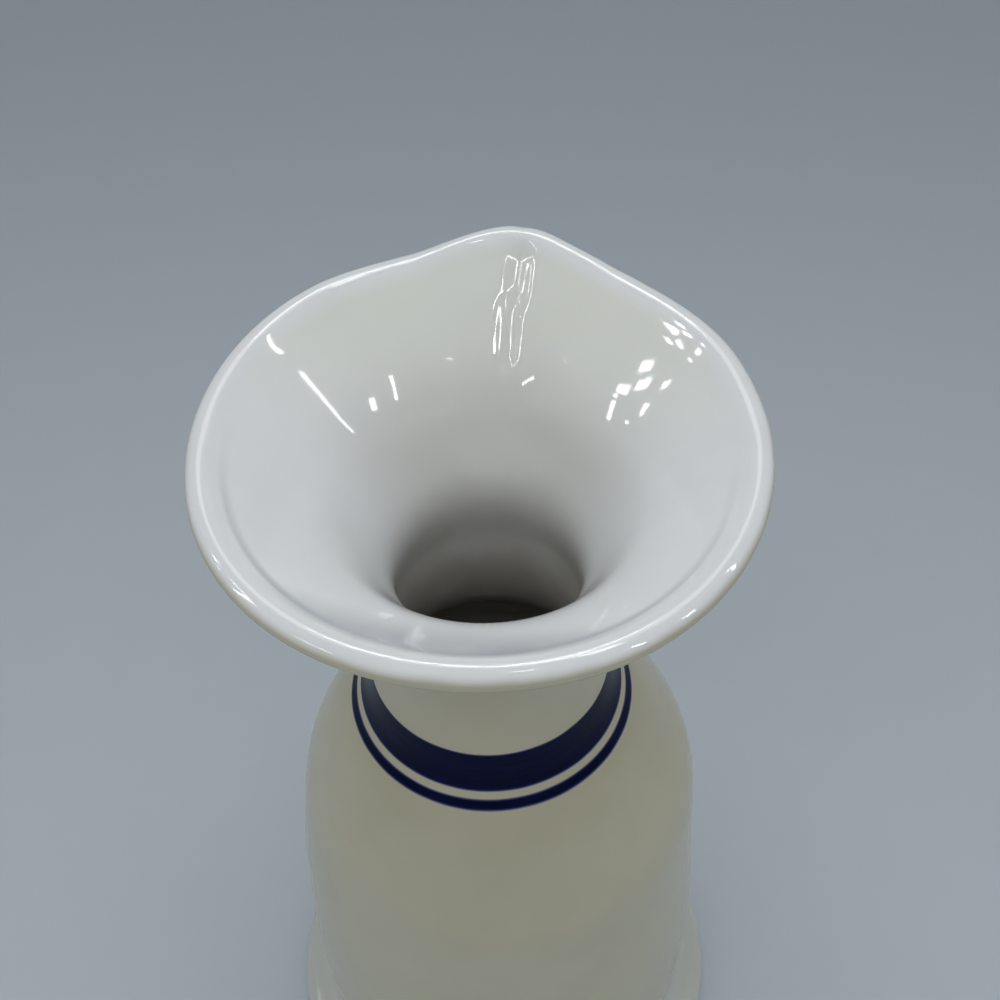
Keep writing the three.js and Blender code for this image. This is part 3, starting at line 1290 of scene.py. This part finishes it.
@dataclass
class Mouth:
    """The neck with its trumpet mouth, and the white coat that lines the whole pot.

    Both are turned in one mesh, so that the lip's pulls move them as one wall, and then parted.
    """

    contour: Contour
    bands: Bands
    body: Body
    bead: float = 0.5
    bead_width: float = 2.4
    roll_steps: int = 24
    fillet_steps: int = 14
    back_step: float = 3.0
    lip_pulls: tuple[Pull, ...] = (
        Pull(180.0, 1.6, 3.2, -4.0, -1.6, 0.0, 52.0),
        Pull(-44.0, 1.6, 3.2, -4.0, 1.5, 0.0, 60.0),
        Pull(0.0, 1.6, 3.2, -4.0, 4.8, 1.7, 20.0),
        Pull(-14.0, 1.6, 3.2, -4.0, 0.35, 0.0, 11.0),
        Pull(19.5, 1.6, 3.2, -4.0, 0.7, 0.0, 10.0),
        Pull(0.0, 1.6, 20.0, 5.0, 1.5, 0.0, 13.0),
        Pull(-31.5, 1.6, 3.0, -4.0, -0.6, 0.0, 13.0),
        Pull(53.0, 1.6, 3.0, -4.0, 0.35, 0.0, 14.0),
    )
    throat_shift: tuple[float, float, float] = (0.6, 0.6, 0.0)
    throat_height: float = 188.0
    throat_spread: float = 28.0
    folds: tuple[Fold, ...] = (
        Fold(((0.7, 219.8), (0.6, 216.4), (-0.4, 211.9), (-0.4, 206.0)), -1.7, 3.4),
        Fold(((-25.6, 215.6), (-22.8, 211.0), (-25.1, 206.2), (-36.0, 202.2)), 0.18, 6.5),
        Fold(((21.5, 217.0), (23.5, 214.0), (26.0, 206.0), (26.0, 200.0)), 0.2, 6.0),
    )

    def bead_at(self, height: float) -> float:
        """How far the roll of the rim stands proud of the funnel's wall at a height."""
        t = clamped(1.0 - (self.contour.high - height) / self.bead_width)
        return self.bead * t * t * (3 - 2 * t)

    def face_depth(self, face: Face) -> float:
        """Depth of the coat's face under the outside, with the rim's bead."""
        return face.wall + self.bead_at(face.height)

    def outlines(self) -> tuple[list[Mark], list[Mark]]:
        """The outlines of the two pieces, which share the neck's inside.

        Returns:
            The outline of the neck, and the outline of the coat from floor to rim.
        """
        coat, fillet, floor_top = self.body.coat, self.body.fillet, self.body.floor_top
        contour, seam = self.contour, self.bands.seam
        groove_top = self.bands.groove(self.bands.wide)[1]
        rim = contour.face(contour.high)
        radius = self.face_depth(rim) / 2
        centre = (rim.at_depth(radius).radius, rim.at_depth(radius).height)
        start = math.degrees(math.atan2(-rim.inward[1], -rim.inward[0]))
        widest, end = 0.0, start + 180.0
        ring = math.degrees(SEAM_RING / radius)
        edge = Mark(centre[0] + radius, centre[1])
        outside = [f.at_depth(self.bands.depth) for f in contour.faces(seam, groove_top)]
        outside += [f.at_depth(0.0) for f in contour.faces(groove_top, contour.high)]
        outside += arc(centre, radius, start, widest - ring, self.roll_steps // 3)[1:]
        outside.append(edge)
        over = [edge, *arc(centre, radius, widest + ring, end, self.roll_steps)]
        inner_faces = contour.faces(floor_top + fillet, contour.high)
        inside = [f.at_depth(self.face_depth(f)) for f in reversed(inner_faces)]
        corner = (inside[-1].radius - fillet, floor_top + fillet)
        floor_arc = arc(corner, fillet, 0.0, -90.0, self.fillet_steps)[1:]
        front = [*over, *inside[1:], *floor_arc, Mark(0.0, floor_top)]
        back_faces = contour.faces(floor_top + fillet, contour.high, step=self.back_step)
        back = [f.at_depth(self.face_depth(f) - coat) for f in back_faces]
        back_arc = arc(corner, fillet + coat, -90.0, 0.0, self.body.fillet_steps)[:-1]
        over_back = arc(centre, radius - coat, end, widest, self.roll_steps // 2)[1:]
        behind = [Mark(0.0, floor_top - coat), *back_arc, *back, *over_back]
        neck_inside = [mark for mark in reversed(behind) if mark.height >= seam]
        neck = [*outside, *neck_inside, outside[0]]
        return neck, self._with_runs([*front, *behind, front[0]])

    @staticmethod
    def _with_runs(outline: Sequence[Mark]) -> list[Mark]:
        """Measures an outline along itself.

        Args:
            outline: Its points.

        Returns:
            The same points, each with its way from the first one.
        """
        run, marks = 0.0, [outline[0]]
        for here, there in zip(outline, outline[1:]):
            run += math.hypot(there.radius - here.radius, there.height - here.height)
            marks.append(Mark(there.radius, there.height, run))
        return marks

    def build(self, cream: bpy.types.Material, white: bpy.types.Material) -> None:
        """Turns the mouth, pulls its lip and parts the neck from the coat.

        Args:
            cream: The glaze outside.
            white: The coat inside.
        """
        neck_outline, coat_outline = self.outlines()
        wall = turned("neck_and_trumpet", neck_outline)
        turned("white_coat", coat_outline).select_set(True)
        wall.select_set(True)
        bpy.context.view_layer.objects.active = wall
        bpy.ops.object.join()
        for pull in self.lip_pulls:
            held = pull.apply(wall, self.contour.high)
            LOG.info("lip pull at %.0f degrees holds %d points", pull.angle, held)
        push(wall, ring_at(self.throat_height), self.throat_shift, self.throat_spread)
        for fold in self.folds:
            LOG.info("fold of %.2f mm holds %d points", fold.rise, fold.apply(wall))
        pick_only(wall)
        with edited(whole=True):
            bpy.ops.mesh.separate(type="LOOSE")
        neck, coat = sorted(bpy.context.selected_objects, key=lowest, reverse=True)
        coat.name, neck.name = "white_coat", "neck_and_trumpet"
        finished(neck, "neck_and_mouth", Slot.CREAM, cream)
        finished(coat, "white_lining", Slot.WHITE, white)


@dataclass(frozen=True)
class Softbox:
    """A rectangular lamp that faces the carafe's mouth.

    Attributes:
        name: Its name.
        azimuth: Where it hangs, in degrees from the lip's direction towards +X.
        elevation: How high it hangs, in degrees above the mouth.
        size: Its width and height.
        glow: Brightness of its face, where 1 shows as white.
        turn: How far it is turned in its own plane, in degrees.
        shine: Whether it lights the pot softly or is what the gloss reflects.
        distance: How far it hangs from the mouth.
    """

    name: str
    azimuth: float
    elevation: float
    size: tuple[float, float]
    glow: float
    turn: float = 0.0
    shine: Shine = Shine.GLOSS
    distance: float = 1500.0

    def hang(self, aim: Vector, colour: tuple[float, float, float]) -> None:
        """Adds the lamp.

        Args:
            aim: The mouth's middle, in millimetres.
            colour: Colour of the light.
        """
        light = bpy.data.lights.new(self.name, "AREA")
        light.shape = "RECTANGLE"
        light.size = self.size[0] * MM
        light.size_y = self.size[1] * MM
        light.energy = self.glow * math.pi * light.size * light.size_y
        light.color = colour
        lamp = bpy.data.objects.new(self.name, light)
        bpy.context.scene.collection.objects.link(lamp)
        lamp.visible_diffuse = self.shine is Shine.LIGHT
        lamp.visible_glossy = self.shine is Shine.GLOSS
        azimuth, elevation = math.radians(self.azimuth), math.radians(self.elevation)
        level = math.cos(elevation)
        away = Vector(
            (math.sin(azimuth) * level, math.cos(azimuth) * level, math.sin(elevation))
        )
        lamp.location = (aim + away * self.distance) * MM
        facing = (-away).to_track_quat("-Z", "Y")
        lamp.rotation_mode = "QUATERNION"
        lamp.rotation_quaternion = facing @ Quaternion((0, 0, 1), math.radians(self.turn))


@dataclass
class Studio:
    """The plain table, the soft light and the camera.

    The room's fades are given in the direction's own X, Y and Z, from -1 to 1, and the table's
    in millimetres.
    """

    floor_side: float = 9000.0
    # Painted light: the table is lighter towards the viewer and darker away from it, slanting a
    # little across.
    floor_lit: Colour = (0.525, 0.578, 0.642, 1.0)
    floor_shaded: Colour = (0.326, 0.371, 0.421, 1.0)
    floor_light_fade: Reach = (-120.0, 550.0)
    floor_light_slant: float = -0.1
    floor_roughness: float = 0.6
    mottle_scale: float = 60.0
    mottle_share: float = 0.06
    backdrop: Colour = (0.200, 0.225, 0.250, 1.0)
    room_light: Colour = (0.95, 0.98, 1.0, 1.0)
    lamp_light: tuple[float, float, float] = (0.97, 1.0, 1.0)
    walls_glow: float = 0.90
    walls_top: Reach = (0.74, 0.62)
    side_walls: Reach = (0.35, 0.85)
    side_walls_dim: float = 0.40
    viewer_side: Reach = (-0.45, -0.75)
    viewer_foot: Reach = (0.25, 0.4)
    ceiling_glow: float = 0.10
    lens: float = 54.0
    sensor: float = 36.0
    clip: Reach = (10.0, 50000.0)
    camera_place: tuple[float, float, float] = (32.1, -169.5, 410.4)
    camera_aim: tuple[float, float, float] = (2.75, 3.27, 200.0)
    camera_roll: float = -2.14
    lamp_aim: tuple[float, float, float] = (0.0, 0.0, 215.0)
    lamps: tuple[Softbox, ...] = (
        Softbox("soft_overhead", 0.0, 88.0, (1200.0, 450.0), 3.3, shine=Shine.LIGHT),
        Softbox("soft_near", 180.0, 62.0, (1200.0, 450.0), 2.4, shine=Shine.LIGHT),
        Softbox("sheen_high", -10.0, 62.0, (1100.0, 800.0), 2.4),
        Softbox("tube_left", -24.3, 60.0, (150.0, 170.0), 12.0),
        Softbox("tube_mid_low", -14.5, 56.5, (65.0, 80.0), 14.0),
        Softbox("tube_mid_high", -14.5, 65.0, (75.0, 130.0), 14.0),
        Softbox("tube_right_low", -3.0, 57.0, (183.0, 80.0), 14.0),
        Softbox("tube_right_high", -3.0, 65.5, (180.0, 130.0), 14.0),
        Softbox("tube_near_high", 156.0, 70.0, (120.0, 120.0), 12.0),
        Softbox("slot_low_left", -134.0, 26.0, (330.0, 50.0), 20.0),
        Softbox("slot_right", 122.0, 32.0, (52.0, 420.0), 24.0),
        Softbox("slot_right_low", 102.0, 26.0, (90.0, 250.0), 22.0),
        Softbox("slot_left", -104.0, 22.0, (52.0, 420.0), 24.0),
        Softbox("slot_left_low", -92.3, 20.3, (50.0, 55.0), 22.0),
        Softbox("tube_over_right", 50.0, 75.5, (420.0, 130.0), 10.0),
        Softbox("window_slot", 77.4, 28.0, (32.0, 820.0), 20.0, -19.0),
        Softbox("pane_a", -104.3, 32.5, (50.0, 50.0), 22.0),
        Softbox("pane_b", -95.6, 41.9, (90.0, 60.0), 22.0),
        Softbox("pane_c", -101.5, 36.0, (130.0, 90.0), 22.0),
        Softbox("pane_d", -93.2, 37.5, (110.0, 60.0), 22.0),
        Softbox("pane_e", -83.0, 36.0, (50.0, 50.0), 22.0),
        Softbox("pane_f", -85.7, 29.5, (50.0, 110.0), 22.0),
    )

    def floor(self) -> None:
        """Lays the table, with painted light that makes it lighter towards the viewer."""
        bpy.ops.object.select_all(action="DESELECT")
        bpy.ops.mesh.primitive_plane_add(size=self.floor_side * MM)
        table = bpy.context.object
        table.name = "table"
        sheet = MaterialSheet("table_top")
        # Painted light: lighter towards the viewer.
        slant = sheet.times(sheet.axis("X"), self.floor_light_slant)
        way = sheet.sum_up("ADD", sheet.axis("Y"), slant)
        colour = sheet.mix(sheet.fade(way, self.floor_light_fade), self.floor_lit, self.floor_shaded)
        grain = sheet.noise(sheet.where, self.mottle_scale, detail=3.0)
        colour = sheet.mix(sheet.times(grain, self.mottle_share), colour, self.backdrop)
        table.data.materials.append(
            sheet.close({"Base Color": colour, "Roughness": self.floor_roughness})
        )

    def room(self) -> None:
        """Soft light from the room's walls, with little from where the viewer stands.

        The camera and the glazes see a plain grey backdrop instead, dark where the viewer is.
        """
        world = bpy.data.worlds.new("studio")
        bpy.context.scene.world = world
        world.use_nodes = True
        world.node_tree.nodes.clear()
        sheet = NodeSheet(world.node_tree)
        path = sheet.add("ShaderNodeLightPath", {})
        seen = sheet.sum_up("MAXIMUM", path.outputs["Is Camera Ray"], path.outputs["Is Glossy Ray"])
        seen = sheet.sum_up("MAXIMUM", seen, path.outputs["Is Transmission Ray"])
        towards = sheet.add("ShaderNodeTexCoord", {}).outputs["Generated"]
        way = sheet.add("ShaderNodeSeparateXYZ", {"Vector": towards}).outputs
        wall = sheet.ramp(way["Z"], *self.walls_top)
        near = sheet.ramp(way["Y"], *self.viewer_side)
        high = sheet.ramp(way["Z"], *self.viewer_foot)
        open_side = sheet.sum_up("SUBTRACT", 1.0, sheet.times(near, high))
        aside = sheet.ramp(sheet.sum_up("ABSOLUTE", way["X"]), *self.side_walls)
        dim = sheet.sum_up("SUBTRACT", 1.0, sheet.times(aside, self.side_walls_dim))
        glow = sheet.times(wall, dim, open_side, self.walls_glow)
        glow = sheet.sum_up("ADD", glow, self.ceiling_glow)
        light = sheet.add("ShaderNodeBackground", {"Color": self.room_light, "Strength": glow})
        view = sheet.add("ShaderNodeBackground", {"Color": self.backdrop, "Strength": open_side})
        shaders = {0: seen, 1: light.outputs[0], 2: view.outputs[0]}
        both = sheet.add("ShaderNodeMixShader", shaders)
        sheet.add("ShaderNodeOutputWorld", {"Surface": both.outputs[0]})

    def camera(self) -> None:
        """Sets the camera where the photograph was taken from."""
        data = bpy.data.cameras.new("camera")
        data.lens = self.lens
        data.sensor_width = self.sensor
        data.clip_start, data.clip_end = self.clip[0] * MM, self.clip[1] * MM
        camera = bpy.data.objects.new("camera", data)
        bpy.context.scene.collection.objects.link(camera)
        place = Vector(self.camera_place) * MM
        towards = (Vector(self.camera_aim) * MM - place).to_track_quat("-Z", "Y")
        camera.location = place
        camera.rotation_mode = "QUATERNION"
        roll = Quaternion((0, 0, 1), math.radians(self.camera_roll))
        camera.rotation_quaternion = towards @ roll
        bpy.context.scene.camera = camera

    def build(self) -> None:
        """Sets up the table, the light and the camera."""
        self.floor()
        self.room()
        for lamp in self.lamps:
            lamp.hang(Vector(self.lamp_aim), self.lamp_light)
        self.camera()
        bpy.context.scene.view_settings.view_transform = "Standard"
        LOG.info("studio: %d lamps", len(self.lamps))


def stations() -> tuple[Station, ...]:
    """The contour's stations, with the waist, the belly and the mouth taken from the frame.

    Returns:
        The stations, going up.
    """
    _, foot_top = span_of("foot_ring")
    _, belly = span_of("body")
    _, mouth = span_of("neck_and_mouth")
    mouth_lean, mouth_wall, mouth_spread = 52.0, 4.8, 0.45
    roll_shift = mouth_wall / 2 * (1 - math.cos(math.radians(mouth_lean)))
    return (
        Station(46.4, foot_top.z, 0.0, 5.0),
        Station(belly.x, 42.0, 0.0, 4.6),
        Station(45.4, 94.0, -5.0, 4.6),
        Station(43.4, 113.0, -11.0, 4.8),
        Station(36.6, 130.5, -26.0, 5.2),
        Station(29.1, 142.9, -38.0, 6.0),
        Station(24.4, 155.0, -14.0, 5.8),
        Station(22.2, 169.0, 0.0, 3.3),
        Station(23.9, 187.7, 35.0, 3.6),
        Station(34.05, 201.0, 40.8, 6.3),
        Station(mouth.x - roll_shift + mouth_spread, 215.2, mouth_lean, mouth_wall),
    )


def main() -> None:
    """Builds the carafe piece by piece, then the studio around it."""
    logging.basicConfig(level=logging.INFO, format="%(name)s: %(message)s")
    effects = Effects()
    cream = CreamGlaze(effects)
    cream_glaze = cream.material()
    white_glaze = WhiteCoat(effects, cream).material()
    contour = Contour(stations())
    bands = Bands(contour)
    cobalt = CobaltBand(effects, cream)
    foot = Foot(contour)
    body = Body(contour, bands, foot)
    foot.build(cream_glaze, BareClay().material())
    body.build(cream_glaze)
    Mouth(contour, bands, body).build(cream_glaze, white_glaze)
    for name, node, edges in (
        ("cobalt_wide", "wide_band", bands.wide),
        ("cobalt_narrow", "narrow_band", bands.narrow),
    ):
        bands.build(name, node, edges, cobalt.material(name, edges))
    Studio().build()


if __name__ == "__main__":
    main()
